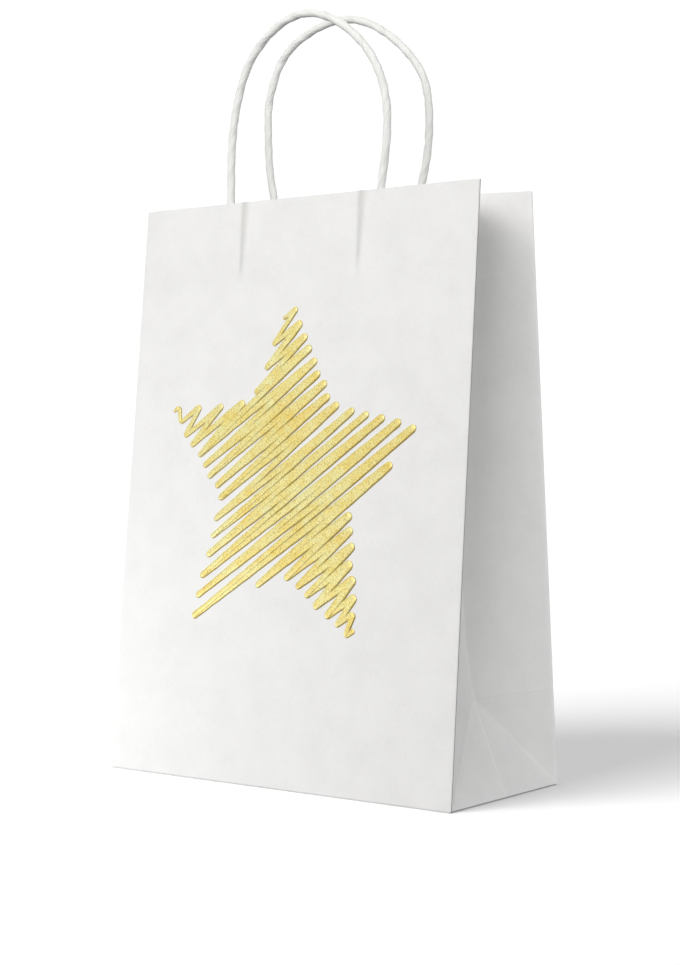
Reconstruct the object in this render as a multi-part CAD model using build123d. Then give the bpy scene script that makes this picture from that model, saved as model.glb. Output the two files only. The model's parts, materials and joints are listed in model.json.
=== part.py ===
from build123d import *
from math import asin, atan, cos, degrees, radians, sin, sqrt, tan
import os

# A paper gift bag with a block bottom, folded-in gussets and twisted-paper cord handles.
# Millimetres. Origin: centre of the base on the surface it stands on.
# +X to the right seen from the front, -Y is the front panel, +Z up.

# Driving dimensions
WIDTH = 222.0          # across the front panel
DEPTH = 103.0          # front to back at the base
PANEL_HEIGHT = 310.0   # front panel, measured along its slope
MOUTH_DEPTH = 52.0     # front to back at the top edge
PAPER = 0.3            # one layer of paper, glue included
CORD = 4.0             # twisted paper cord, diameter

# Folds
HINGE_INSET = 1.1      # gusset fold line, inside the panel's outer face
EDGE_INSET = 0.35      # gusset and base fold lines, inside the bag's side
FOLD_GAP = 0.9         # panel's bottom edge above the base fold
CREASE_SLACK_TOP = 0.4     # half the opening left along the gusset's centre fold, at the mouth
CREASE_SLACK_LOW = 2.5     # the same at the apex of the base triangle
DIAGONAL_SLACK = 1.5   # opening left on each side of a diagonal fold
FLAP_OVERLAP = 8.0     # how far each bottom flap passes the centre line

# Handles, as distances from the panel's centre line and along its slope
LEG_INSET = 2.6        # cord axis inside the panel's outer face
PATCH_LOW = 246.0
PATCH_HIGH = 275.0
PATCH_HALF_WIDTH = 57.0
LOOP_RISE = 2.8        # the cord's bending line above the top edge
STUB_REACH = 0.1       # glued cord end above the top edge
CHANNEL_GAP = 0.05     # cover paper clear of the cord
SEAM_WIDTH = 18.0

# Foil star on the front panel
STAR_CENTRE_X = -3.0
STAR_CENTRE_S = 156.0
STAR_OUTER = 90.0
STAR_INNER = 49.0
STAR_TURN = 2.0        # degrees, anticlockwise
STROKE_PITCH = 7.0
STROKE_WIDTH = 4.4
STROKE_ANGLE = 35.0
FOIL = 0.1

# Worked out
HALF = DEPTH / 2
LEAN = asin((DEPTH - MOUTH_DEPTH) / 2 / PANEL_HEIGHT)
LEAF = HALF - HINGE_INSET      # width of one gusset leaf, fold to fold
APEX_S = HALF                  # the base triangle's apex, along the slope
FRONT = -1
BACK = 1
LEFT = -1
RIGHT = 1

# Route of each handle cord: x across, then height above the bending line
FRONT_LOOP = [(-52, 0), (-52.5, 25), (-49.5, 51.5), (-40, 78), (-18, 95.5), (3.5, 98.5), (26.5, 87),
              (44.5, 68), (53, 44.5), (52.5, 20.5), (49, 0)]
BACK_LOOP = [(-57, 0), (-62.5, 23.5), (-63.5, 48), (-63.5, 65), (-52.5, 91.5), (-24, 104.5), (0.5, 104),
             (24, 90.5), (44, 69), (48.5, 48), (47.5, 23), (41.5, 0)]


def slope_point(side, x, s, inset=0.0):
    """A point on a panel: x across, s up the slope from the base fold, inset from its outer face."""
    y = side * (HALF - s * sin(LEAN) - inset * cos(LEAN))
    z = s * cos(LEAN) - inset * sin(LEAN)
    return Vector(x, y, z)


def inward(side):
    """Unit vector from a panel's outer face into the bag."""
    return Vector(0, -side * cos(LEAN), -sin(LEAN))


def sheet(points, push):
    """A flat sheet: an outline given its thickness."""
    return Solid.extrude(Face(Wire.make_polygon(points)), push)


def panel_strip(side, x_low, x_high, s_low, s_high, inset, thickness=PAPER):
    corners = [(x_low, s_low), (x_high, s_low), (x_high, s_high), (x_low, s_high)]
    outline = [slope_point(side, x, s, inset) for x, s in corners]
    return sheet(outline, inward(side) * thickness)


def crease_slack(s):
    """The centre fold's opening narrows from the apex to the mouth."""
    up = max(0.0, (s - APEX_S) / (PANEL_HEIGHT - APEX_S))
    return CREASE_SLACK_TOP + (CREASE_SLACK_LOW - CREASE_SLACK_TOP) * (1 - up ** 1.5)


def leaf_angle(s):
    """Angle between a gusset leaf and its panel, s up the slope; constant below the apex."""
    s = max(s, APEX_S)
    reach = HALF - s * sin(LEAN) - HINGE_INSET * cos(LEAN)
    return asin(reach / (LEAF * cos(LEAN)))


def leaf_width(s):
    if s < APEX_S:
        return LEAF * s / APEX_S - DIAGONAL_SLACK * sqrt(2)
    return LEAF - crease_slack(s)


def leaf_section(side, hand, s):
    """Cross-section of a gusset leaf, square to its fold line."""
    turn = leaf_angle(s)
    fold = slope_point(side, hand * (WIDTH / 2 - EDGE_INSET), s, HINGE_INSET)
    along = Vector(-hand * cos(turn), 0, 0) + inward(side) * sin(turn)
    across = Vector(hand * sin(turn), 0, 0) + inward(side) * cos(turn)
    half = across * (PAPER / 2)
    far = fold + along * leaf_width(s)
    return Wire.make_polygon([fold - half, far - half, far + half, fold + half])


def gusset_leaf(side, hand, levels):
    return Solid.make_loft([leaf_section(side, hand, s) for s in levels], True)


def base_triangle(hand):
    """The side's lowest facet, between the two diagonal folds, leaning in from the base fold."""
    apex = slope_point(FRONT, 0, APEX_S, HINGE_INSET) + inward(FRONT) * (LEAF * sin(leaf_angle(APEX_S)))
    tilt = asin(LEAF * cos(leaf_angle(APEX_S)) / HALF)
    rise = Vector(-hand * sin(tilt), 0, cos(tilt))
    out = Vector(hand * cos(tilt), 0, sin(tilt)) * (PAPER / 2)
    foot = Vector(hand * (WIDTH / 2 - EDGE_INSET), 0, 0.75)
    low, tall = 0.45, apex.Z / cos(tilt) - 0.75 - DIAGONAL_SLACK * sqrt(2)
    outline = [foot + rise * low - Vector(0, tall - low, 0), foot + rise * low + Vector(0, tall - low, 0),
               foot + rise * tall]
    return sheet([p - out for p in outline], out * 2)


def bottom_front_flap():
    """Outer flap: full width at the front fold, cut back at 45 degrees to the overlap."""
    reach = HALF + FLAP_OVERLAP
    outline = [(-WIDTH / 2 + 0.3, -HALF), (WIDTH / 2 - 0.3, -HALF), (WIDTH / 2 - reach, FLAP_OVERLAP),
               (-WIDTH / 2 + reach, FLAP_OVERLAP)]
    return sheet([Vector(x, y, 0) for x, y in outline], Vector(0, 0, PAPER))


def bottom_back_flap():
    """Flush with the front flap, then stepped up so that its tongue is glued on top of it."""
    start = FLAP_OVERLAP + 0.3
    reach = HALF - start
    outline = [(-WIDTH / 2 + 0.3, HALF), (WIDTH / 2 - 0.3, HALF), (WIDTH / 2 - reach, start),
               (-WIDTH / 2 + reach, start)]
    flat = sheet([Vector(x, y, 0) for x, y in outline], Vector(0, 0, PAPER))
    half_tongue = WIDTH / 2 - HALF - FLAP_OVERLAP - 0.5
    tongue = Pos(0, start / 2 - FLAP_OVERLAP / 2 + 0.5, 1.5 * PAPER) * Box(
        2 * half_tongue, start + FLAP_OVERLAP + 1, PAPER)
    return flat.fuse(tongue)


def bottom_side_flap(hand):
    """Inner flap, folded in first and glued on top of the two outer ones."""
    reach = HALF + FLAP_OVERLAP
    flap = Box(reach - 0.5, DEPTH - 1.6, PAPER)
    return Pos(hand * (WIDTH / 2 - 0.5 - (reach - 0.5) / 2), 0, 1.5 * PAPER) * flap


def slope_plane(side, s, inset):
    """A plane square to the slope: its x runs across the panel, its y runs into the bag."""
    return Plane(origin=slope_point(side, 0, s, inset), x_dir=(-side, 0, 0),
                 z_dir=Vector(0, -side * sin(LEAN), cos(LEAN)))


def patch_backing(side, centre):
    return panel_strip(side, centre - PATCH_HALF_WIDTH, centre + PATCH_HALF_WIDTH,
                       PATCH_LOW, PATCH_HIGH, PAPER)


def patch_cover(side, centre, legs):
    """Top strip of the handle patch: flat, with a channel over each glued cord end."""
    plane = slope_plane(side, PATCH_LOW + 0.5, 2 * PAPER)
    outer = CORD / 2 + CHANNEL_GAP + PAPER
    height = PATCH_HIGH - PATCH_LOW - 1
    shape = Pos(-side * centre, PAPER / 2) * Rectangle(2 * PATCH_HALF_WIDTH - 2, PAPER)
    bore = Sketch()
    for x in legs:
        middle = Pos(-side * x, CORD / 2)
        shape += middle * Circle(outer)
        shape += Pos(-side * x, CORD / 4) * Rectangle(2 * outer, CORD / 2)
        bore += middle * Circle(CORD / 2 + CHANNEL_GAP)
        bore += Pos(-side * x, 0) * Rectangle(CORD + 2 * CHANNEL_GAP, CORD)
    shape -= bore
    shape -= Pos(0, -5) * Rectangle(WIDTH, 10)
    return extrude(plane * shape, height)


def cord_end(side, x_low, x_top):
    """A glued cord end: straight under the patch, then eased across to where the handle leaves the bag."""
    route = [(x_low, PATCH_LOW + 3), (x_low, PATCH_HIGH + 4), (x_top, PANEL_HEIGHT - 14),
             (x_top, PANEL_HEIGHT + STUB_REACH)]
    points = [slope_point(side, x, s, LEG_INSET) for x, s in route]
    path = FilletPolyline(*points, radius=[16.0, 16.0])
    return tube(path)


def tube(path):
    plane = Plane(origin=path @ 0, z_dir=path % 0)
    return sweep(plane * Circle(CORD / 2), path=path)


def loop_line(side):
    """The cord's bending line: its middle, just above the panel's top edge."""
    return slope_point(side, 0, PANEL_HEIGHT + LOOP_RISE, LEG_INSET)


def corner_radius(before, corner, after):
    """As large as the two runs allow: 0.45 of the shorter, divided by the tangent of half the turn."""
    turn = radians((corner - before).get_angle(after - corner))
    shorter = min((corner - before).length, (after - corner).length)
    return 0.45 * shorter / tan(turn / 2)


def handle_loop(side, route):
    """The free part of a handle, standing upright from the bending line."""
    base = loop_line(side)
    points = [base + Vector(x, 0, z) for x, z in route]
    radii = [corner_radius(*points[i - 1:i + 2]) for i in range(1, len(points) - 1)]
    path = FilletPolyline(*points, radius=radii)
    print("handle", side, "length", round(path.length, 1), "radii", [round(r, 1) for r in radii])
    solid = tube(path)
    print("volume / section x length", round(solid.volume / (3.14159265 * CORD ** 2 / 4 * path.length), 4))
    return solid


def star_outline():
    points = []
    for i in range(10):
        reach = STAR_OUTER if i % 2 == 0 else STAR_INNER
        angle = radians(90 + STAR_TURN + 36 * i)
        points.append((reach * cos(angle), reach * sin(angle)))
    return points


def foil_star():
    """A star scribbled in parallel foil strokes, printed on the front panel."""
    star = make_face(Polyline(*star_outline(), close=True))
    strokes = Sketch()
    count = int(STAR_OUTER // STROKE_PITCH)
    for i in range(-count, count + 1):
        bar = Pos(0, i * STROKE_PITCH) * SlotOverall(2.4 * STAR_OUTER, STROKE_WIDTH)
        strokes += Rot(0, 0, STROKE_ANGLE) * bar
    strokes &= star
    plane = Plane(origin=slope_point(FRONT, STAR_CENTRE_X, STAR_CENTRE_S), x_dir=(1, 0, 0),
                  z_dir=-inward(FRONT))
    return extrude(plane * strokes, FOIL)


def save(name, shape):
    shape.label = name
    export_step(shape, f"parts/{name}.step")


def make_panels():
    for name, side in (("front", FRONT), ("back", BACK)):
        save(f"{name}_panel", panel_strip(side, -WIDTH / 2, WIDTH / 2, FOLD_GAP, PANEL_HEIGHT, 0))
    seam_edge = -WIDTH / 2 + 1.5
    save("seam_lap", panel_strip(BACK, seam_edge, seam_edge + SEAM_WIDTH, 3, PANEL_HEIGHT - 2, PAPER))
    save("foil_star", foil_star())


def make_bottom():
    save("bottom_front_flap", bottom_front_flap())
    save("bottom_back_flap", bottom_back_flap())
    for name, hand in (("left", LEFT), ("right", RIGHT)):
        save(f"bottom_{name}_flap", bottom_side_flap(hand))


def make_gussets():
    upper = [100, 150, 200, 250, PANEL_HEIGHT]
    for name, hand in (("left", LEFT), ("right", RIGHT)):
        save(f"{name}_gusset_front_leaf", gusset_leaf(FRONT, hand, [5, APEX_S] + upper))
        save(f"{name}_gusset_back_leaf", gusset_leaf(BACK, hand, [APEX_S + 0.5] + upper))
        save(f"{name}_gusset_corner_leaf", gusset_leaf(BACK, hand, [5, APEX_S - 0.1]))
        save(f"{name}_base_triangle", base_triangle(hand))


def make_handles():
    for name, side, centre, route in (("front", FRONT, 0, FRONT_LOOP), ("back", BACK, -7.5, BACK_LOOP)):
        legs = (centre - 39, centre + 39)
        save(f"{name}_patch_backing", patch_backing(side, centre))
        save(f"{name}_patch_cover", patch_cover(side, centre, legs))
        save(f"{name}_handle_loop", handle_loop(side, route))
        for hand, x_low, x_top in (("left", legs[0], route[0][0]), ("right", legs[1], route[-1][0])):
            save(f"{name}_{hand}_cord_end", cord_end(side, x_low, x_top))


os.makedirs("parts", exist_ok=True)
make_panels()
make_bottom()
make_gussets()
make_handles()
print("lean", round(degrees(LEAN), 3), "loop lines", loop_line(FRONT), loop_line(BACK))
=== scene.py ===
import json
import math
import random

import bpy
from mathutils import Matrix, Vector, noise


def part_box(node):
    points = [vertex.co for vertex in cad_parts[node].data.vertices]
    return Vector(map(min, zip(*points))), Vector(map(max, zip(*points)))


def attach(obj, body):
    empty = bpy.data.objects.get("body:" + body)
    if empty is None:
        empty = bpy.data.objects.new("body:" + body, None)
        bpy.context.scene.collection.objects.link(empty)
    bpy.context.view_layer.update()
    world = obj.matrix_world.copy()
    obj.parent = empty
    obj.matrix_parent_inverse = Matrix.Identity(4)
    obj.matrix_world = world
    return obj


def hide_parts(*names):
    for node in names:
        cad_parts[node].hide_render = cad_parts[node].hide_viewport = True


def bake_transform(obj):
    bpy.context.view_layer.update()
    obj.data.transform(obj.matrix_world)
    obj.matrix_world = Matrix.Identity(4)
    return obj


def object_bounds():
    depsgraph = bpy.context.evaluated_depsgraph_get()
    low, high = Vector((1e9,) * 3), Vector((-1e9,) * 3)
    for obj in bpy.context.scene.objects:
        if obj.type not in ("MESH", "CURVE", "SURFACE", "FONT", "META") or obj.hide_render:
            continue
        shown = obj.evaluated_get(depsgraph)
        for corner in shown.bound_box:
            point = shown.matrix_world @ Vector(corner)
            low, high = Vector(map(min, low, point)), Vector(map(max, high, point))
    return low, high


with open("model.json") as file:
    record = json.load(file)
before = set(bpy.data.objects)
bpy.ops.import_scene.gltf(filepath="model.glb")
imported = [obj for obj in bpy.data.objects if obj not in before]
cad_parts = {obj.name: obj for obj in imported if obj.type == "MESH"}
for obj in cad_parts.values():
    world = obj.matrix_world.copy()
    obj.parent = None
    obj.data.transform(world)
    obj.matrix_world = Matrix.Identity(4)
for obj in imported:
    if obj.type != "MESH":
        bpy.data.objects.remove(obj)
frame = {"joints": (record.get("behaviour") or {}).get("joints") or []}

# White paper gift bag: soft paper sheets, twisted-paper cord handles and a scribbled foil star,
# built round the CAD frame. Metres. The front panel faces -Y and the bag stands on z = 0.

MM = 0.001
FRONT, BACK = -1, 1
LEFT, RIGHT = -1, 1

# Read from the frame
cad_low, cad_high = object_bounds()
joint = {j["name"]: j for j in frame["joints"]}
LEAN = math.atan2(joint["right_front_fold"]["axis"][1], joint["right_front_fold"]["axis"][2])
WIDTH = cad_high.x - cad_low.x
HALF = cad_high.y
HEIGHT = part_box("front_panel")[1].z / math.cos(LEAN)
HINGE_X = joint["right_front_fold"]["pos_m"][0]

# Sizes that repeat the CAD model's
PAPER = 0.3 * MM
HINGE_INSET = 1.1 * MM
LEG_INSET = 2.6 * MM
CORD = 4.0 * MM
LOOP_RISE = 2.8 * MM
PATCH_LOW, PATCH_HIGH = 0.246, 0.275
PATCH_HALF_WIDTH = 57 * MM
BACK_HANDLE_X = -7.5 * MM
LEG_SPREAD = 39 * MM
SEAM_WIDTH = 18 * MM
FLAP_OVERLAP = 8 * MM
LEAF = HALF - HINGE_INSET
APEX_S = HALF

# Sizes of the finer sheets and cords
CORD_LOOSENESS = 1.08     # the twist springs open a little
LEAF_OUT = 0.2 * MM       # a leaf's mid-surface, out from its hinge line
FOLD_RADIUS = 0.75 * MM
FOLD_RUB = 0.25           # a folded edge's wear, on the scale from plain through whitened by rubbing to the painted dark shade in a fold's turn
LEAF_BOW = 0.7 * MM       # how far a gusset leaf bows out between its folds
CORD_SHOWS = 44 * MM      # how far down from the top edge the glued cords mark the panel
RIDGE_HEIGHT = 0.85 * MM  # the ridge over a glued cord
RIDGE_HALF_WIDTH = 1.9 * MM
MOUTH_FLARE = 0.5 * MM    # the panels curl out a little at the top edge
PRESSED_DEPTH = 0.35 * MM  # the pressed line across the back panel
CHANNEL_RISE = 4.1 * MM   # the patch cover, lifted by a cord
CHANNEL_HALF_WIDTH = 2.7 * MM

# The star, centred a little left of the panel's middle
STAR_X, STAR_S = -3 * MM, 0.156
STAR_OUTER = 93 * MM
STROKE_PITCH = 7.6 * MM
STROKE_SLANT = 33.5
EMBOSS = 0.45 * MM
JOIN_REACH = 12 * MM       # ends of two strokes this close are joined, even past the outline

# Routes of the two handles, the CAD model's points: x across and height above the bending line
FRONT_LOOP = [(-0.052, 0), (-0.0525, 0.025), (-0.0495, 0.0515), (-0.040, 0.078), (-0.018, 0.0955),
              (0.0035, 0.0985), (0.0265, 0.087), (0.0445, 0.068), (0.053, 0.0445),
              (0.0525, 0.0205), (0.049, 0)]
BACK_LOOP = [(-0.057, 0), (-0.0625, 0.0235), (-0.0635, 0.048), (-0.0635, 0.065),
             (-0.0525, 0.0915), (-0.024, 0.1045), (0.0005, 0.104), (0.024, 0.0905),
             (0.044, 0.069), (0.0485, 0.048), (0.0475, 0.023), (0.0415, 0)]


# ---------------------------------------------------------------- places on the panels

def slope_point(side, x, s, inset=0.0):
    """A point on a panel: x across, s up its slope from the base fold, inset from the outer face."""
    y = side * (HALF - s * math.sin(LEAN) - inset * math.cos(LEAN))
    return Vector((x, y, s * math.cos(LEAN) - inset * math.sin(LEAN)))


def inward(side):
    """Unit vector square to a panel's outer face, into the bag."""
    return Vector((0, -side * math.cos(LEAN), -math.sin(LEAN)))


def leaf_angle(s):
    """Angle between a gusset leaf and its panel."""
    s = max(s, APEX_S)
    reach = HALF - s * math.sin(LEAN) - HINGE_INSET * math.cos(LEAN)
    return math.asin(reach / (LEAF * math.cos(LEAN)))


def smooth(t):
    """A soft step from 0 to 1 as t goes from 0 to 1."""
    t = min(1.0, max(0.0, t))
    return t * t * (3 - 2 * t)


def hump(d, half_width):
    """1 in the middle, falling smoothly to 0 well outside half_width."""
    return math.exp(-(d / half_width) ** 2)


def spaced(low, high, step):
    """Evenly spaced values from low to high, about step apart."""
    count = max(1, round((high - low) / step))
    return [low + (high - low) * i / count for i in range(count + 1)]


# ---------------------------------------------------------------- mesh making

def link(name, mesh):
    """A new object in the scene, made of the given data."""
    obj = bpy.data.objects.new(name, mesh)
    bpy.context.scene.collection.objects.link(obj)
    return obj


def smooth_shade(mesh, sharp_degrees):
    """Smooth shading, with edges sharper than the angle kept crisp."""
    mesh.polygons.foreach_set("use_smooth", [True] * len(mesh.polygons))
    mesh.set_sharp_from_angle(angle=math.radians(sharp_degrees))


def grid_normals(grid):
    """Unit normals of a grid of points: rows go up, columns go to the right of the outer face."""
    rows, cols = len(grid), len(grid[0])
    normals = []
    for i in range(rows):
        line = []
        for j in range(cols):
            up = grid[min(i + 1, rows - 1)][j] - grid[max(i - 1, 0)][j]
            across = grid[i][min(j + 1, cols - 1)] - grid[i][max(j - 1, 0)]
            line.append(across.cross(up).normalized())
        normals.append(line)
    return normals


def paper_sheet(name, grid, folds=None, shadows=None):
    """A closed thin sheet from mid-surface points, with each point's fold wear and painted fold shade,
    and its painted cord shade, 0 to 1.
    """
    rows, cols = len(grid), len(grid[0])
    normals = grid_normals(grid)
    verts = []
    for face in (0.5, -0.5):
        for i in range(rows):
            verts += [grid[i][j] + normals[i][j] * (PAPER * face) for j in range(cols)]
    size = rows * cols
    faces = []
    for i in range(rows - 1):
        for j in range(cols - 1):
            a, b = i * cols + j, i * cols + j + 1
            c, d = b + cols, a + cols
            faces += [(a, b, c, d), (d + size, c + size, b + size, a + size)]
    rim = list(range(cols)) + [i * cols + cols - 1 for i in range(1, rows)]
    rim += [(rows - 1) * cols + j for j in range(cols - 2, -1, -1)]
    rim += [i * cols for i in range(rows - 2, 0, -1)]
    for k, a in enumerate(rim):
        b = rim[(k + 1) % len(rim)]
        faces.append((b, a, a + size, b + size))
    mesh = bpy.data.meshes.new(name)
    mesh.from_pydata(verts, [], faces)
    smooth_shade(mesh, 50)
    for key, rows_of_values in (("fold_wear_and_shade", folds), ("painted_cord_shade", shadows)):
        if rows_of_values:
            values = [value for line in rows_of_values for value in line]
            mesh.attributes.new(key, "FLOAT", "POINT").data.foreach_set("value", values + values)
    return link(name, mesh)


def ripple(x, s, seed):
    """Soft unevenness of a paper sheet, in metres."""
    broad = noise.noise(Vector((x / 0.075, s / 0.095, seed)))
    middle = noise.noise(Vector((x / 0.024, s / 0.030, seed + 7.3)))
    fine = noise.noise(Vector((x / 0.007, s / 0.008, seed + 3.1)))
    return (0.45 * broad + 0.10 * middle + 0.018 * fine) * MM


# ---------------------------------------------------------------- materials

def new_material(name):
    """A material with its nodes, its links and its main shader."""
    material = bpy.data.materials.new(name)
    material.use_nodes = True
    nodes = material.node_tree.nodes
    return material, nodes, material.node_tree.links, nodes["Principled BSDF"]


def add_node(nodes, kind, inputs=None, **settings):
    """A node with its inputs and settings filled in."""
    node = nodes.new(kind)
    for key, value in settings.items():
        setattr(node, key, value)
    for key, value in (inputs or {}).items():
        node.inputs[key].default_value = value
    return node


def noise_node(nodes, links, coords, scale, detail=4.0, stretch=(1, 1, 1)):
    """Noise with a feature size of 1/scale metres, stretched along the axes."""
    mapping = add_node(nodes, "ShaderNodeMapping", {"Scale": stretch})
    links.new(coords, mapping.inputs["Vector"])
    texture = add_node(nodes, "ShaderNodeTexNoise", {"Scale": scale, "Detail": detail, "Roughness": 0.6})
    links.new(mapping.outputs["Vector"], texture.inputs["Vector"])
    return texture.outputs["Fac"]


def ramp_node(nodes, links, value, stops):
    """Colours by value, from (place, colour) stops."""
    ramp = add_node(nodes, "ShaderNodeValToRGB")
    while len(ramp.color_ramp.elements) < len(stops):
        ramp.color_ramp.elements.new(0.5)
    for element, (place, colour) in zip(ramp.color_ramp.elements, stops):
        element.position = place
        element.color = (*colour, 1)
    links.new(value, ramp.inputs["Fac"])
    return ramp.outputs["Color"]


def multiply(nodes, links, a, b, share=1.0):
    """Two colours multiplied, by the given share."""
    mix = add_node(nodes, "ShaderNodeMix", data_type="RGBA", blend_type="MULTIPLY")
    mix.inputs["Factor"].default_value = share
    links.new(a, mix.inputs["A"])
    links.new(b, mix.inputs["B"])
    return mix.outputs["Result"]


def bump_node(nodes, links, height, distance, strength, before=None):
    """A bump, laid over an earlier one where there is one."""
    bump = add_node(nodes, "ShaderNodeBump", {"Distance": distance, "Strength": strength})
    links.new(height, bump.inputs["Height"])
    if before is not None:
        links.new(before, bump.inputs["Normal"])
    return bump.outputs["Normal"]


def paper_material(name, tint, roughness=0.72):
    """Uncoated white paper: faint cloudy formation, fibres, fine tooth, folds whitened by wear, painted
    dark shade in the turns of the front's folds, and painted shade along the glued cords.
    """
    material, nodes, links, shader = new_material(name)
    coords = add_node(nodes, "ShaderNodeTexCoord").outputs["Object"]
    cloud = noise_node(nodes, links, coords, 55, 5)
    fibre = noise_node(nodes, links, coords, 700, 3, (1, 1, 0.6))
    tooth = noise_node(nodes, links, coords, 2600, 2)
    low = tuple(c * 0.955 for c in tint)
    colour = ramp_node(nodes, links, cloud, [(0.30, low), (0.62, tint)])
    flecks = ramp_node(nodes, links, fibre, [(0.32, (0.965, 0.96, 0.955)), (0.5, (1, 1, 1))])
    colour = multiply(nodes, links, colour, flecks, 0.6)
    # Low values whiten worn folds; high values darken the paper to a painted shade in the turn of the
    # front's side folds.
    wear = add_node(nodes, "ShaderNodeAttribute", attribute_name="fold_wear_and_shade").outputs["Fac"]
    plain, painted_fold_shade = (0.93, 0.93, 0.93), (0.34, 0.335, 0.32)
    rub_white_and_painted_shade = ramp_node(nodes, links, wear, [(0.0, plain), (0.25, (1, 1, 1)), (0.4, plain), (1.0, painted_fold_shade)])
    colour = multiply(nodes, links, colour, rub_white_and_painted_shade, 1.0)
    # Painted shade along the glued cords' ridges, darkening the paper in soft grey bands.
    shadow = add_node(nodes, "ShaderNodeAttribute", attribute_name="painted_cord_shade").outputs["Fac"]
    shaded = ramp_node(nodes, links, shadow, [(0.0, (1, 1, 1)), (1.0, (0.80, 0.80, 0.785))])
    colour = multiply(nodes, links, colour, shaded, 1.0)
    links.new(colour, shader.inputs["Base Color"])
    smoother, rougher = (roughness - 0.06,) * 3, (roughness + 0.08,) * 3
    rough = ramp_node(nodes, links, cloud, [(0.3, smoother), (0.7, rougher)])
    links.new(rough, shader.inputs["Roughness"])
    normal = bump_node(nodes, links, cloud, 0.0006, 0.22)
    normal = bump_node(nodes, links, fibre, 0.0001, 0.30, normal)
    normal = bump_node(nodes, links, tooth, 0.00004, 0.35, normal)
    links.new(normal, shader.inputs["Normal"])
    shader.inputs["Specular IOR Level"].default_value = 0.3
    return material


def cord_material():
    """Twisted paper: fine lines that follow the twist, and painted shade in the groove of the seam."""
    material, nodes, links, shader = new_material("twisted_paper")
    coords = add_node(nodes, "ShaderNodeTexCoord").outputs["Object"]
    cloud = noise_node(nodes, links, coords, 140, 4)
    twist = add_node(nodes, "ShaderNodeAttribute", attribute_name="twist_uv").outputs["Vector"]
    strands = noise_node(nodes, links, twist, 6.0, 3, (5.0, 0.35, 1))
    seam = add_node(nodes, "ShaderNodeAttribute", attribute_name="seam").outputs["Fac"]
    colour = ramp_node(nodes, links, cloud, [(0.3, (0.81, 0.815, 0.795)), (0.65, (0.86, 0.865, 0.85))])
    lines = ramp_node(nodes, links, strands, [(0.35, (0.95, 0.95, 0.94)), (0.6, (1, 1, 1))])
    colour = multiply(nodes, links, colour, lines, 0.9)
    # Painted shade in the groove along the seam.
    shade = ramp_node(nodes, links, seam, [(0.0, (1, 1, 1)), (1.0, (0.86, 0.86, 0.85))])
    colour = multiply(nodes, links, colour, shade, 1.0)
    links.new(colour, shader.inputs["Base Color"])
    shader.inputs["Roughness"].default_value = 0.62
    normal = bump_node(nodes, links, strands, 0.0002, 0.20)
    normal = bump_node(nodes, links, cloud, 0.0002, 0.2, normal)
    links.new(normal, shader.inputs["Normal"])
    shader.inputs["Specular IOR Level"].default_value = 0.35
    return material


def foil_material():
    """Stamped gold foil: warm, half-glossy metal broken up by a coarse grain, with painted shade
    darkening it along the strokes' sides and ends.
    """
    material, nodes, links, shader = new_material("gold_foil")
    coords = add_node(nodes, "ShaderNodeTexCoord").outputs["Object"]
    grain = noise_node(nodes, links, coords, 1300, 3)
    patch = noise_node(nodes, links, coords, 160, 4)
    edge = add_node(nodes, "ShaderNodeAttribute", attribute_name="edge").outputs["Fac"]
    colour = ramp_node(nodes, links, patch, [(0.3, (0.99, 0.81, 0.25)), (0.68, (1.0, 0.95, 0.49))])
    specks = ramp_node(nodes, links, grain, [(0.36, (0.87, 0.82, 0.65)), (0.55, (1, 1, 1))])
    colour = multiply(nodes, links, colour, specks, 0.85)
    sheen = noise_node(nodes, links, coords, 22, 1)
    drift = ramp_node(nodes, links, sheen, [(0.36, (0.98, 0.91, 0.74)), (0.56, (1, 1, 1))])
    colour = multiply(nodes, links, colour, drift, 1.0)
    # Painted shade along the strokes' sides and rounded ends, from the edge attribute.
    rim = ramp_node(nodes, links, edge, [(0.25, (1, 1, 1)), (1.0, (0.40, 0.34, 0.19))])
    colour = multiply(nodes, links, colour, rim, 1.0)
    links.new(colour, shader.inputs["Base Color"])
    rough = ramp_node(nodes, links, grain, [(0.3, (0.20,) * 3), (0.7, (0.44,) * 3)])
    links.new(rough, shader.inputs["Roughness"])
    shader.inputs["Metallic"].default_value = 0.28
    normal = bump_node(nodes, links, grain, 0.0003, 0.6)
    normal = bump_node(nodes, links, patch, 0.0003, 0.3, normal)
    links.new(normal, shader.inputs["Normal"])
    return material


def floor_material():
    """A plain pale floor with a faint cloudiness."""
    material, nodes, links, shader = new_material("pale_floor")
    coords = add_node(nodes, "ShaderNodeTexCoord").outputs["Object"]
    cloud = noise_node(nodes, links, coords, 3, 2)
    colour = ramp_node(nodes, links, cloud, [(0.3, (0.93, 0.93, 0.93)), (0.7, (0.94, 0.94, 0.94))])
    links.new(colour, shader.inputs["Base Color"])
    shader.inputs["Roughness"].default_value = 0.9
    shader.inputs["Specular IOR Level"].default_value = 0.0
    return material


BAG_PAPER = paper_material("bag_paper", (0.909, 0.906, 0.901))
PATCH_PAPER = paper_material("patch_paper", (0.892, 0.887, 0.866), 0.78)
CORD_PAPER = cord_material()
FOIL = foil_material()


def finish_piece(obj, material, slot, *nodes):
    """Material of a piece, and the CAD nodes that it replaces, which are hidden. The slot argument is not
    used.
    """
    obj.data.materials.append(material)
    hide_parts(*nodes)
    return obj


# ---------------------------------------------------------------- camera

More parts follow.
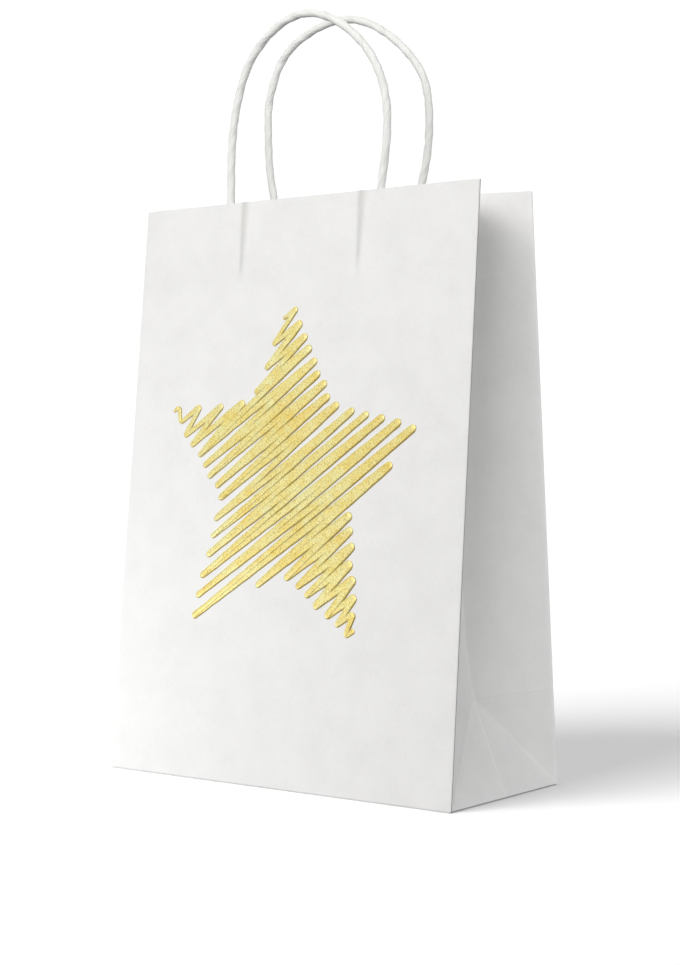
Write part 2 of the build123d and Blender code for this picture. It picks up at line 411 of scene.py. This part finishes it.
def make_camera():
    """The camera stands low in front, to the bag's right, and looks slightly up."""
    azimuth, pitch, roll = math.radians(36.40), math.radians(3.21), math.radians(0.31)
    distance = 1.0022
    target = Vector((0.0060, 0, 0.2214))
    ahead = Vector((-math.sin(azimuth) * math.cos(pitch), math.cos(azimuth) * math.cos(pitch),
                    math.sin(pitch)))
    right = ahead.cross(Vector((0, 0, 1))).normalized()
    up = right.cross(ahead)
    data = bpy.data.cameras.new("camera")
    data.lens = 69.16
    data.sensor_width = 36
    data.shift_y = -0.1244
    data.clip_start = 0.05
    camera = link("camera", data)
    turned_right = right * math.cos(roll) + up * math.sin(roll)
    turned_up = up * math.cos(roll) - right * math.sin(roll)
    rotation = Matrix((turned_right, turned_up, -ahead)).transposed().to_4x4()
    camera.matrix_world = Matrix.Translation(target - ahead * distance) @ rotation
    bpy.context.scene.camera = camera


# ---------------------------------------------------------------- handles

def cord_route(side, middle, loop):
    """Glued under the patch, eased across to the top edge, round the arch and back down."""
    def glued(hand, x_top):
        leg = middle + hand * LEG_SPREAD
        places = [(leg, PATCH_LOW + 0.003), (leg, PATCH_HIGH + 0.004), (x_top, HEIGHT - 0.014)]
        return [slope_point(side, x, s, LEG_INSET) for x, s in places]
    base = slope_point(side, 0, HEIGHT + LOOP_RISE, LEG_INSET)
    free = [base + Vector((x, 0, z)) for x, z in loop]
    return glued(LEFT, loop[0][0]) + free + glued(RIGHT, loop[-1][0])[::-1]


def spline_points(points):
    """Evenly close points along the route's own smooth spline."""
    curve = bpy.data.curves.new("route", "CURVE")
    curve.dimensions = "3D"
    spline = curve.splines.new("NURBS")
    spline.points.add(len(points) - 1)
    for place, point in zip(spline.points, points):
        place.co = (*point, 1)
    spline.order_u = 3
    spline.use_endpoint_u = True
    spline.resolution_u = 32
    holder = link("route", curve)
    bpy.context.view_layer.update()
    mesh = bpy.data.meshes.new_from_object(holder)
    line = [v.co.copy() for v in mesh.vertices]
    bpy.data.objects.remove(holder)
    bpy.data.meshes.remove(mesh)
    return line


def resample(line, step):
    """Even steps along a line of points, with the line's length."""
    lengths = [0.0]
    for a, b in zip(line, line[1:]):
        lengths.append(lengths[-1] + (b - a).length)
    points, k = [], 0
    for d in spaced(0, lengths[-1], step):
        while k < len(line) - 2 and lengths[k + 1] < d:
            k += 1
        gap = max(1e-9, lengths[k + 1] - lengths[k])
        points.append(line[k].lerp(line[k + 1], (d - lengths[k]) / gap))
    return points, lengths[-1]


def frames_along(points, start_up):
    """Direction and a side vector at each point, with the least turning between neighbours."""
    side = start_up
    result = []
    for i, point in enumerate(points):
        ahead = (points[min(i + 1, len(points) - 1)] - points[max(i - 1, 0)]).normalized()
        side = (side - ahead * side.dot(ahead)).normalized()
        result.append((ahead, side.copy()))
    return result


def cord_radius(angle, d, seed):
    """A strip of paper rolled and twisted: two soft lobes, a helical seam, and uneven pressing."""
    lobes = 0.05 * math.cos(2 * angle + 0.6) + 0.02 * math.cos(3 * angle + 2.0)
    seam = math.exp(-((angle - math.pi) / 0.18) ** 2)
    press = 0.03 * noise.noise(Vector((d / 0.011, seed, 0)))
    dents = 0.04 * noise.noise(Vector((math.cos(angle) * 1.6, math.sin(angle) * 1.6, d / 0.006 + seed)))
    return CORD / 2 * CORD_LOOSENESS * (1.0 + lobes - 0.08 * seam + press + dents), seam


def twisted_cord(name, line, seed):
    """A closed tube that follows the line, with its lobes and seam wound round it."""
    around, pitch = 28, 0.026
    points, length = resample(line, 0.0006)
    verts, seams, uvs, faces = [], [], [], []
    for i, (point, (ahead, side)) in enumerate(zip(points, frames_along(points, Vector((0, 1, 0))))):
        other = ahead.cross(side)
        d = i * length / (len(points) - 1)
        turn = 2 * math.pi * (d / pitch + 0.35 * noise.noise(Vector((d / 0.05, seed, 4))))
        for k in range(around):
            angle = 2 * math.pi * k / around
            radius, seam = cord_radius(angle, d, seed)
            spin = angle + turn
            verts.append(point + (side * math.cos(spin) + other * math.sin(spin)) * radius)
            seams.append(seam)
            uvs += [math.cos(angle), d / pitch, math.sin(angle)]
    for i in range(len(points) - 1):
        for k in range(around):
            a, b = i * around + k, i * around + (k + 1) % around
            faces.append((a, b, b + around, a + around))
    faces.append(tuple(range(around - 1, -1, -1)))
    faces.append(tuple(range(len(verts) - around, len(verts))))
    mesh = bpy.data.meshes.new(name)
    mesh.from_pydata(verts, [], faces)
    smooth_shade(mesh, 60)
    mesh.attributes.new("seam", "FLOAT", "POINT").data.foreach_set("value", seams)
    mesh.attributes.new("twist_uv", "FLOAT_VECTOR", "POINT").data.foreach_set("vector", uvs)
    return link(name, mesh), points


def make_handle(name, side, middle, loop, seed):
    """One cord with its free arch and both glued ends, bending at the top edge."""
    route = cord_route(side, middle, loop)
    cord, points = twisted_cord(f"{name}_handle_cord", spline_points(route), seed)
    finish_piece(cord, CORD_PAPER, "cord_paper", f"{name}_handle_loop", f"{name}_left_cord_end",
                 f"{name}_right_cord_end")
    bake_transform(cord)


# ---------------------------------------------------------------- front and back panels

def round_the_fold(s):
    """Mid-surface of a panel's side fold, from the flat out and round to the start of the gusset leaf."""
    bend = FOLD_RADIUS - PAPER / 2
    section = []
    for degrees in (0, 22, 45, 67, 90):
        turn = math.radians(degrees)
        section.append((WIDTH / 2 - FOLD_RADIUS + bend * math.sin(turn),
                        FOLD_RADIUS - bend * math.cos(turn)))
    last = math.pi / 2 - leaf_angle(s)
    for share in (0, 0.5, 1):
        section.append((HINGE_X + LEAF_OUT * math.cos(last * share),
                        HINGE_INSET + LEAF_OUT * math.sin(last * share)))
    x, inset = section[-1]
    for on, under in ((0.35 * MM, 0.30 * MM), (0.7 * MM, 0.36 * MM)):
        section.append((x - on * math.sin(last) - under * math.cos(last),
                        inset + on * math.cos(last) - under * math.sin(last)))
    return section


def panel_section(side, s, flat):
    """(x, inset) across a whole panel at height s: fold, flat, fold."""
    fold = round_the_fold(s)
    section = [(-x, inset) for x, inset in fold[::-1]] + [(x, PAPER / 2) for x in flat] + fold
    return section if side == FRONT else [(-x, inset) for x, inset in section]


def flat_columns(fine_at):
    """x places across the flat of a panel, closer together by the glued cords."""
    flat_half = WIDTH / 2 - FOLD_RADIUS
    places = set(round(x, 6) for x in spaced(-flat_half, flat_half, 3 * MM)[1:-1])
    for x in fine_at:
        places |= set(round(x + d, 6) for d in spaced(-5 * MM, 5 * MM, 0.7 * MM))
    return sorted(places)


def cord_ridge(x, s, middle, low):
    """The glued cord ends press through the paper as two soft upright ridges."""
    ridge = max(hump(x - middle - hand * LEG_SPREAD, RIDGE_HALF_WIDTH) for hand in (LEFT, RIGHT))
    return RIDGE_HEIGHT * ridge * smooth((s - low) / 0.006)


def painted_cord_shade(x, s, middle):
    """Painted shade along the glued cords' ridges: soft grey bands that narrow downwards, added to the
    ridges' own shading.
    """
    up = max(0.0, (s - HEIGHT + CORD_SHOWS) / CORD_SHOWS)
    half_width = (0.7 + 1.6 * up) * MM
    band = max(hump(x - middle - hand * LEG_SPREAD, half_width) for hand in (LEFT, RIGHT))
    return band * smooth(up / 0.25)


def panel_swell(side, x, s):
    """How far the panel's face stands out from its flat CAD face."""
    edge = smooth((WIDTH / 2 - abs(x)) / 0.012)
    out = ripple(x, s, 11.0 if side == FRONT else 23.0) * edge
    middle = 0 if side == FRONT else BACK_HANDLE_X
    out += cord_ridge(x, s, middle, HEIGHT - CORD_SHOWS)
    out += MOUTH_FLARE * hump(s - HEIGHT, 0.05) * edge
    if side == BACK:
        out -= PRESSED_DEPTH * hump(s - APEX_S, 0.9 * MM)
    return out


def panel_wear_and_shade(side, s, inset):
    """Painted dark shade where the front's side folds turn; whitened by rubbing on the back's folds and
    pressed line.
    """
    # On the front this runs to the dark end of the scale: painted shade in the turn of the fold.
    wear = smooth((inset - PAPER) / (0.5 * MM))
    if side == BACK:
        return FOLD_RUB * max(wear, hump(s - APEX_S, 0.8 * MM))
    return wear


def panel_rows(side):
    """Heights up a panel, closer together at the pressed line."""
    rows = set(round(s, 6) for s in spaced(0.4 * MM, HEIGHT, 3 * MM))
    if side == BACK:
        rows |= set(round(APEX_S + d, 6) for d in spaced(-2 * MM, 2 * MM, 0.5 * MM))
    return sorted(rows)


def make_panel(name, side, middle):
    """The front or the back panel with its rounded side folds."""
    flat = flat_columns((middle - LEG_SPREAD, middle + LEG_SPREAD))
    grid, folds, shadows = [], [], []
    for s in panel_rows(side):
        section = panel_section(side, s, flat)
        grid.append([slope_point(side, x, s, inset - panel_swell(side, x, s)) for x, inset in section])
        folds.append([panel_wear_and_shade(side, s, inset) for x, inset in section])
        shadows.append([painted_cord_shade(x, s, middle) for x, inset in section])
    panel = paper_sheet(f"{name}_panel_sheet", grid, folds, shadows)
    finish_piece(panel, BAG_PAPER, "bag_paper", f"{name}_panel")
    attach(panel, name)


# ---------------------------------------------------------------- inside strips

def inside_strip(name, side, body, material, slot, node, x_low, x_high, s_low, s_high, profile):
    """A strip glued inside a panel. profile(x) is the middle of its thickness below the outer face."""
    xs = spaced(x_low, x_high, 0.7 * MM)
    if side == BACK:
        xs = xs[::-1]
    grid = []
    for s in spaced(s_low, s_high, 3 * MM):
        line = []
        for x in xs:
            edge_curl = 0.12 * MM * noise.noise(Vector((x / 0.02, s / 0.02, 5)))
            inset = profile(x) - panel_swell(side, x, s) + abs(edge_curl)
            line.append(slope_point(side, x, s, inset))
        grid.append(line)
    strip = paper_sheet(name, grid)
    finish_piece(strip, material, slot, node)
    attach(strip, body)


def make_patch(name, side, middle):
    """The two strips that hold a handle: one under its cord and one over it."""
    low, high = middle - PATCH_HALF_WIDTH, middle + PATCH_HALF_WIDTH

    def over_the_cords(x):
        near = min(abs(x - middle - hand * LEG_SPREAD) for hand in (LEFT, RIGHT))
        return 1.5 * PAPER + PAPER + CHANNEL_RISE * math.exp(-(near / CHANNEL_HALF_WIDTH) ** 6)

    inside_strip(f"{name}_patch_strip", side, name, PATCH_PAPER, "patch_paper", f"{name}_patch_backing",
                 low, high, PATCH_LOW, PATCH_HIGH, lambda x: 1.5 * PAPER)
    inside_strip(f"{name}_patch_cover_strip", side, name, PATCH_PAPER, "patch_paper",
                 f"{name}_patch_cover", low + MM, high - MM, PATCH_LOW + 0.5 * MM, PATCH_HIGH - 0.5 * MM,
                 over_the_cords)


def make_seam():
    """The glued lap inside the back panel."""
    low = -WIDTH / 2 + 1.5 * MM
    inside_strip("seam_lap_strip", BACK, "back", BAG_PAPER, "bag_paper", "seam_lap",
                 low, low + SEAM_WIDTH, 3 * MM, HEIGHT - 2 * MM, lambda x: 1.5 * PAPER)


# ---------------------------------------------------------------- gussets

def leaf_place(side, hand, s, t, width, bulge):
    """A point on a gusset leaf: t from 0 at the panel's fold to 1 at the centre fold."""
    turn = leaf_angle(s)
    fold = slope_point(side, hand * HINGE_X, s, HINGE_INSET)
    along = Vector((-hand * math.cos(turn), 0, 0)) + inward(side) * math.sin(turn)
    out = Vector((hand * math.sin(turn), 0, 0)) + inward(side) * math.cos(turn)
    return fold + along * (width * t) + out * (LEAF_OUT + bulge)


def leaf_grid(side, hand, rows, steps, seed, lip):
    """Mid-surface of a leaf, its fold wear, and a short lip round the centre fold."""
    grid, folds = [], []
    for s in rows:
        width = (LEAF - LEAF_OUT / math.tan(leaf_angle(s))) * min(1.0, s / APEX_S)
        line, wear = [], []
        for t in steps:
            bow = math.sin(math.pi * t) * smooth(width / LEAF)
            bulge = LEAF_BOW * bow + ripple(t * LEAF, s, seed) * min(1.0, 4 * t * (1 - t))
            line.append(leaf_place(side, hand, s, t, width, bulge))
            wear.append(FOLD_RUB * max(hump((1 - t) * width, 0.9 * MM), hump(t * width, 0.9 * MM)))
        if lip and s >= APEX_S:
            line += lip_points(side, hand, s, line[-1])
        elif lip:
            line += [line[-1] + (line[-1] - line[-2]).normalized() * 0.05 * MM * k for k in (1, 2)]
        if lip:
            wear += [0.2, 0.2]
        grid.append(line)
        folds.append(wear)
    return grid, folds


def lip_points(side, hand, s, crease):
    """The sheet turns round the centre fold and runs on just inside the other leaf."""
    turn = leaf_angle(s)
    back = Vector((hand * math.cos(turn), 0, 0)) + inward(side) * math.sin(turn)
    inner = Vector((-hand, 0, 0)) * 0.40 * MM
    return [crease + inner + back * 0.2 * MM, crease + inner + back * 3.4 * MM]


def make_leaf(name, side, hand, body, node, rows, seed, lip, blend):
    """One sheet of a gusset, left unparented where it stands or riding on its own body."""
    steps = sorted(set(spaced(0, 1, 1 / 18) + [0.018, 0.982]))
    grid, folds = leaf_grid(side, hand, rows, steps, seed, lip)
    if side * hand < 0:
        grid = [line[::-1] for line in grid]
        folds = [line[::-1] for line in folds]
    leaf = paper_sheet(name, grid, folds)
    finish_piece(leaf, BAG_PAPER, "bag_paper", node)
    if blend:
        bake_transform(leaf)
    else:
        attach(leaf, body)


def make_base_triangle(name, hand):
    """Leans in from the base fold up to the apex, with a faint pressed line up its middle."""
    turn = leaf_angle(APEX_S)
    apex = leaf_place(FRONT, hand, APEX_S, 1, LEAF, 0)
    foot_x = hand * HINGE_X
    tilt = math.atan2(hand * (foot_x - apex.x), apex.z)
    tall = apex.z / math.cos(tilt)
    rise = Vector((-hand * math.sin(tilt), 0, math.cos(tilt)))
    out = Vector((hand * math.cos(tilt), 0, math.sin(tilt)))
    grid, folds = [], []
    for up in spaced(0.45 * MM, tall - 0.6 * MM, 1.5 * MM):
        reach = (HALF - 0.9 * MM) * (1 - up / tall) + 0.25 * MM
        line, wear = [], []
        for k in range(-20, 21):
            side_step = k / 20
            y = reach * math.copysign(abs(side_step) ** 1.25, side_step)
            bulge = 0.22 * MM * hump(y, 0.8 * MM) + 0.6 * ripple(y, up, 41 + hand) * (1 - side_step ** 2)
            line.append(Vector((foot_x, y, 0)) + rise * up + out * (bulge - 0.12 * MM))
            wear.append(FOLD_RUB * max(0.8 * hump(y, 0.8 * MM), hump(reach - abs(y), 0.9 * MM)))
        grid.append(line)
        folds.append(wear)
    if hand == LEFT:
        grid = [line[::-1] for line in grid]
        folds = [line[::-1] for line in folds]
    triangle = paper_sheet(f"{name}_base_triangle_sheet", grid, folds)
    finish_piece(triangle, BAG_PAPER, "bag_paper", f"{name}_base_triangle")
    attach(triangle, f"{name}_triangle")


def make_gusset(name, hand):
    """The four sheets of one folded-in side."""
    full = spaced(0.9 * MM, APEX_S, 2.5 * MM) + spaced(APEX_S, HEIGHT, 3.5 * MM)[1:]
    upper = spaced(APEX_S, HEIGHT, 3.5 * MM)
    corner = spaced(0.9 * MM, APEX_S, 2.5 * MM)
    make_leaf(f"{name}_gusset_front_sheet", FRONT, hand, f"{name}_gusset_front",
              f"{name}_gusset_front_leaf", full, 3.0 + hand, True, True)
    make_leaf(f"{name}_gusset_back_sheet", BACK, hand, f"{name}_gusset_back",
              f"{name}_gusset_back_leaf", upper, 9.0 + hand, False, True)
    make_leaf(f"{name}_gusset_corner_sheet", BACK, hand, f"{name}_corner",
              f"{name}_gusset_corner_leaf", corner, 15.0 + hand, False, False)
    make_base_triangle(name, hand)


# ---------------------------------------------------------------- bottom flaps

def flap_sheet(name, rows):
    """A bottom flap. rows are (y, half width, x at the middle, height of the mid-surface)."""
    grid = []
    for y, half_width, middle, lift in rows:
        line = []
        for share in spaced(-1, 1, 0.05):
            x = middle + half_width * share
            edge = smooth((WIDTH / 2 - abs(x)) / 0.01) * smooth((HALF - abs(y)) / 0.01)
            soft = 0.11 * MM * edge * (1 + noise.noise(Vector((x / 0.03, y / 0.03, 51))))
            line.append(Vector((x, y, lift + soft)))
        grid.append(line)
    flap = paper_sheet(f"{name}_sheet", grid)
    finish_piece(flap, BAG_PAPER, "bag_paper", name)
    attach(flap, "base")


def make_bottom():
    """Two side flaps folded in first, then the front and the back flap glued over them."""
    reach = HALF + FLAP_OVERLAP
    outer, inner = 0.5 * PAPER, 1.5 * PAPER
    edge = WIDTH / 2 - 0.3 * MM
    front = [(y, edge - (y + HALF), 0, outer) for y in spaced(-HALF, FLAP_OVERLAP, 3 * MM)]
    flap_sheet("bottom_front_flap", front[::-1])
    step = FLAP_OVERLAP + 1.2 * MM
    tongue = WIDTH / 2 - HALF - FLAP_OVERLAP - 0.5 * MM
    back = [(y, edge - (HALF - y), 0, outer) for y in spaced(step, HALF, 3 * MM)]
    raised = [(y, tongue, 0, inner) for y in spaced(-FLAP_OVERLAP, FLAP_OVERLAP + 0.4 * MM, 2.7 * MM)]
    flap_sheet("bottom_back_flap", (raised + back)[::-1])
    for name, hand in (("left", LEFT), ("right", RIGHT)):
        middle = hand * (WIDTH / 2 - 0.5 * MM - reach / 2)
        front_to_back = spaced(-HALF + 0.9 * MM, HALF - 0.9 * MM, 3 * MM)
        rows = [(y, reach / 2 - 0.5 * MM, middle, inner) for y in front_to_back]
        flap_sheet(f"bottom_{name}_flap", rows[::-1])


# ---------------------------------------------------------------- foil star

def star_outline():
    """Corners of the uneven star: tips and notches in turn, by reach in mm and bearing in degrees."""
    corners = [(100, 90), (50, 118), (91, 153), (42, -170), (98, -126.5), (46, -90), (97, -56.5),
               (48, -16), (92, 19), (53, 54)]
    return [direction(bearing) * (reach * MM) for reach, bearing in corners]


def spans(outline, origin, along):
    """Stretches of a line inside the outline, as (start, end) distances from origin, in order."""
    across = Vector((-along.y, along.x))
    hits = []
    for a, b in zip(outline, outline[1:] + outline[:1]):
        da, db = (a - origin).dot(across), (b - origin).dot(across)
        if (da > 0) != (db > 0):
            hits.append((a.lerp(b, da / (da - db)) - origin).dot(along))
    hits.sort()
    return list(zip(hits[::2], hits[1::2]))


def direction(degrees):
    """Unit vector in the panel's plane, by its bearing."""
    return Vector((math.cos(math.radians(degrees)), math.sin(math.radians(degrees))))


def inside(outline, point):
    """Whether a point lies inside the outline."""
    return any(low <= 0 <= high for low, high in spans(outline, point, Vector((1, 0))))


def zigzag_rows(outline, draw):
    """Ends of the parallel strokes, row by row from the top tip down."""
    along = direction(STROKE_SLANT)
    across = Vector((-along.y, along.x))
    rows = []
    place = STAR_OUTER - 0.5 * MM
    while place > -STAR_OUTER - 3 * MM:
        row = []
        for low, high in spans(outline, across * place, along):
            low += draw.uniform(-1.2, 1.2) * MM
            high += draw.uniform(-1.2, 1.2) * MM
            if high - low > 2 * MM:
                row.append((across * place + along * low, across * place + along * high))
        rows.append(row)
        place -= STROKE_PITCH * draw.uniform(0.9, 1.1)
    return [row for row in rows if row]


def star_strokes():
    """Strokes of a pen zigzagging down the star: up along a row, then back to the next row's start."""
    draw = random.Random(20)
    outline = star_outline()
    rows = zigzag_rows(outline, draw)
    strokes = []
    for row, after in zip(rows, rows[1:] + [[]]):
        for start, end in row:
            strokes.append((start, end))
            for next_start, _ in after:
                way_back = [end.lerp(next_start, share) for share in (0.25, 0.5, 0.75)]
                crossing = all(inside(outline, point) for point in way_back)
                if crossing or (end - next_start).length < JOIN_REACH:
                    strokes.append((next_start, end))
    return strokes


def stroke_places(length, wide):
    """Distances along a stroke, close together at its rounded ends."""
    ends = [m * wide for m in (0.0, 0.06, 0.2, 0.45, 0.8) if m * wide < length * 0.45]
    middle = spaced(ends[-1] + 0.6 * MM, length - ends[-1] - 0.6 * MM, 1.8 * MM)
    return ends + middle + [length - d for d in ends[::-1]]


def stroke_mesh(start, end, widths, lift, bow, verts, faces, painted_edge_shades):
    """A tapered, round-ended ribbon of foil, rolled down along both sides and embossed out of the panel,
    with painted shade along its sides and ends.
    """
    profile = [(-1.0, -0.1), (-0.94, 0.45), (-0.78, 0.82), (-0.4, 1.0), (0.0, 1.04), (0.4, 1.0),
               (0.78, 0.82), (0.94, 0.45), (1.0, -0.1)]
    length = (end - start).length
    along = (end - start) / length
    across = Vector((-along.y, along.x))
    narrow, wide = widths
    places = stroke_places(length, wide)
    first = len(verts)
    for d in places:
        t = d / length
        full = narrow + (wide - narrow) * smooth(t * 1.15)
        from_end = min(1.0, d / (full * 0.55), (length - d) / (full * 0.5))
        round_off = math.sqrt(max(0.03, 1 - (1 - from_end) ** 2))
        uneven = 1 + 0.10 * noise.noise(Vector((d / 0.006, lift * 90000, start.x * 300)))
        middle = start + along * d + across * (bow * 4 * t * (1 - t))
        for place, rise in profile:
            point = middle + across * (full / 2 * round_off * uneven * place)
            x, s = STAR_X + point.x, STAR_S + point.y
            grain = 1 + 0.12 * noise.noise(Vector((x / 0.0008, s / 0.0008, 2)))
            height = rise * (EMBOSS * round_off * grain + lift)
            verts.append(slope_point(FRONT, x, s, -panel_swell(FRONT, x, s) - height))
            # Painted shade: full on the lower-right side of each stroke, weaker on the upper-left side,
            # and over the rounded ends.
            shade = smooth((abs(place) - 0.5) / 0.4) * (1.0 if place < 0 else 0.4)
            painted_edge_shades.append(max(shade, 1 - round_off))
    count = len(profile)
    for i in range(len(places) - 1):
        a, b = first + i * count, first + (i + 1) * count
        for j in range(count - 1):
            faces.append((a + j, b + j, b + j + 1, a + j + 1))
        faces.append((a + count - 1, b + count - 1, b, a))
    faces.append(tuple(first + j for j in range(count)))
    last = first + (len(places) - 1) * count
    faces.append(tuple(last + j for j in range(count - 1, -1, -1)))


def make_star():
    """All the star's strokes as one piece on the front panel."""
    draw = random.Random(7)
    verts, faces, painted_edge_shades = [], [], []
    for i, (start, end) in enumerate(star_strokes()):
        lift = 0.05 * MM * (i % 4)
        length = (end - start).length
        bow = draw.uniform(-0.7, 0.7) * MM * min(1.0, length / 0.08)
        wide = draw.uniform(4.1, 5.0) * MM * (0.60 + 0.40 * smooth(length / 0.040))
        wide *= 1 + 0.2 * smooth(-(start + end).y / (2 * STAR_OUTER) * 1.6)
        widths = wide * draw.uniform(0.70, 0.84), wide
        stroke_mesh(start, end, widths, lift, bow, verts, faces, painted_edge_shades)
    mesh = bpy.data.meshes.new("foil_star_strokes")
    mesh.from_pydata(verts, [], faces)
    smooth_shade(mesh, 70)
    mesh.attributes.new("edge", "FLOAT", "POINT").data.foreach_set("value", painted_edge_shades)
    star = link("foil_star_strokes", mesh)
    finish_piece(star, FOIL, "gold_foil", "foil_star")
    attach(star, "front")


# ---------------------------------------------------------------- stage and lights

def lit_pieces(name, piece, state):
    """A group of what a lamp lights: one piece alone, or all but that piece."""
    group = bpy.data.collections.new(name)
    group.objects.link(piece)
    group.collection_objects[0].light_linking.link_state = state
    return group


def sun_light(name, azimuth, elevation, softness, strength, colour, lights_up):
    """A distant soft light. Azimuth is in degrees from the front (-Y) towards the bag's left (-X)."""
    data = bpy.data.lights.new(name, "SUN")
    data.angle = math.radians(softness)
    data.energy = strength * math.pi
    data.color = colour
    light = link(name, data)
    a, e = math.radians(azimuth), math.radians(elevation)
    toward = Vector((-math.sin(a) * math.cos(e), -math.cos(a) * math.cos(e), math.sin(e)))
    light.rotation_mode = "QUATERNION"
    light.rotation_quaternion = toward.to_track_quat("Z", "Y")
    light.light_linking.receiver_collection = lights_up


def area_light(name, place, aim, size, power, colour, lights_up):
    """A round lamp at a place, turned to its aim."""
    data = bpy.data.lights.new(name, "AREA")
    data.shape = "DISK"
    data.size = size
    data.energy = power
    data.color = colour
    light = link(name, data)
    light.location = place
    light.rotation_mode = "QUATERNION"
    light.rotation_quaternion = (Vector(aim) - Vector(place)).to_track_quat("-Z", "Y")
    light.light_linking.receiver_collection = lights_up


def glow_material(name, strength):
    """An evenly white surface that needs no lamp."""
    material, nodes, links, shader = new_material(name)
    shader.inputs["Base Color"].default_value = (0, 0, 0, 1)
    shader.inputs["Specular IOR Level"].default_value = 0
    shader.inputs["Emission Color"].default_value = (1, 1, 1, 1)
    shader.inputs["Emission Strength"].default_value = strength
    return material


def only_seen(obj):
    """The stage doesn't light the bag: the world and the lamps do."""
    obj.visible_diffuse = False
    obj.visible_glossy = False
    obj.visible_shadow = False


def make_stage():
    """The pale floor and the white backdrop, which only the camera sees."""
    floor = link("floor", bpy.data.meshes.new("floor"))
    reach, under = 14.0, -0.0002
    corners = [(-reach, -reach, under), (reach, -reach, under), (reach, reach, under),
               (-reach, reach, under)]
    floor.data.from_pydata(corners, [], [(0, 1, 2, 3)])
    floor.data.materials.append(floor_material())
    only_seen(floor)
    bpy.ops.mesh.primitive_uv_sphere_add(segments=48, ring_count=24, radius=18)
    backdrop = bpy.context.object
    backdrop.name = "backdrop"
    backdrop.data.materials.append(glow_material("white_backdrop", 1.05))
    only_seen(backdrop)
    return floor


def make_lights(floor):
    """Soft daylight all round. The floor has two lamps of its own, and one gusset leaf an extra one."""
    world = bpy.data.worlds.new("studio")
    world.use_nodes = True
    world.node_tree.nodes["Background"].inputs["Color"].default_value = (1, 1, 1, 1)
    world.node_tree.nodes["Background"].inputs["Strength"].default_value = 0.21
    bpy.context.scene.world = world
    bpy.context.scene.view_settings.view_transform = "Standard"
    bag = lit_pieces("all_but_floor", floor, "EXCLUDE")
    below = lit_pieces("floor_alone", floor, "INCLUDE")
    gusset = lit_pieces("gusset_alone", bpy.data.objects["right_gusset_back_sheet"], "INCLUDE")
    warm, cool, plain = (1, 0.99, 0.965), (0.97, 0.985, 1), (1, 1, 1)
    sun_light("key", 8, 22, 25, 0.251, warm, bag)
    sun_light("front_fill", -14, 15, 30, 0.328, plain, bag)
    sun_light("right_fill", -80, 5, 30, 0.078, plain, bag)
    sun_light("right_back_fill", -112, 12, 40, 0.31, plain, bag)
    sun_light("left_back_fill", 135, 20, 70, 0.62, plain, bag)
    sun_light("mouth_fill", 10, 20, 30, 0.07, plain, gusset)
    area_light("low_fill", (-0.28, -0.26, 0.0), (-0.05, -0.04, 0.05), 0.15, 0.372, cool, bag)
    area_light("high_fill", (0.02, -0.40, 0.66), (0.02, -0.02, 0.30), 0.3, 0.783, warm, bag)
    sun_light("floor_key", 20, 32, 42, 0.93, plain, below)
    sun_light("floor_fill", 0, 89, 120, 0.40, plain, below)


# ---------------------------------------------------------------- build

make_camera()
make_handle("front", FRONT, 0, FRONT_LOOP, 3)
make_handle("back", BACK, BACK_HANDLE_X, BACK_LOOP, 8)
make_panel("front", FRONT, 0)
make_panel("back", BACK, BACK_HANDLE_X)
make_seam()
make_patch("front", FRONT, 0)
make_patch("back", BACK, BACK_HANDLE_X)
make_gusset("left", LEFT)
make_gusset("right", RIGHT)
make_star()
make_bottom()
make_lights(make_stage())
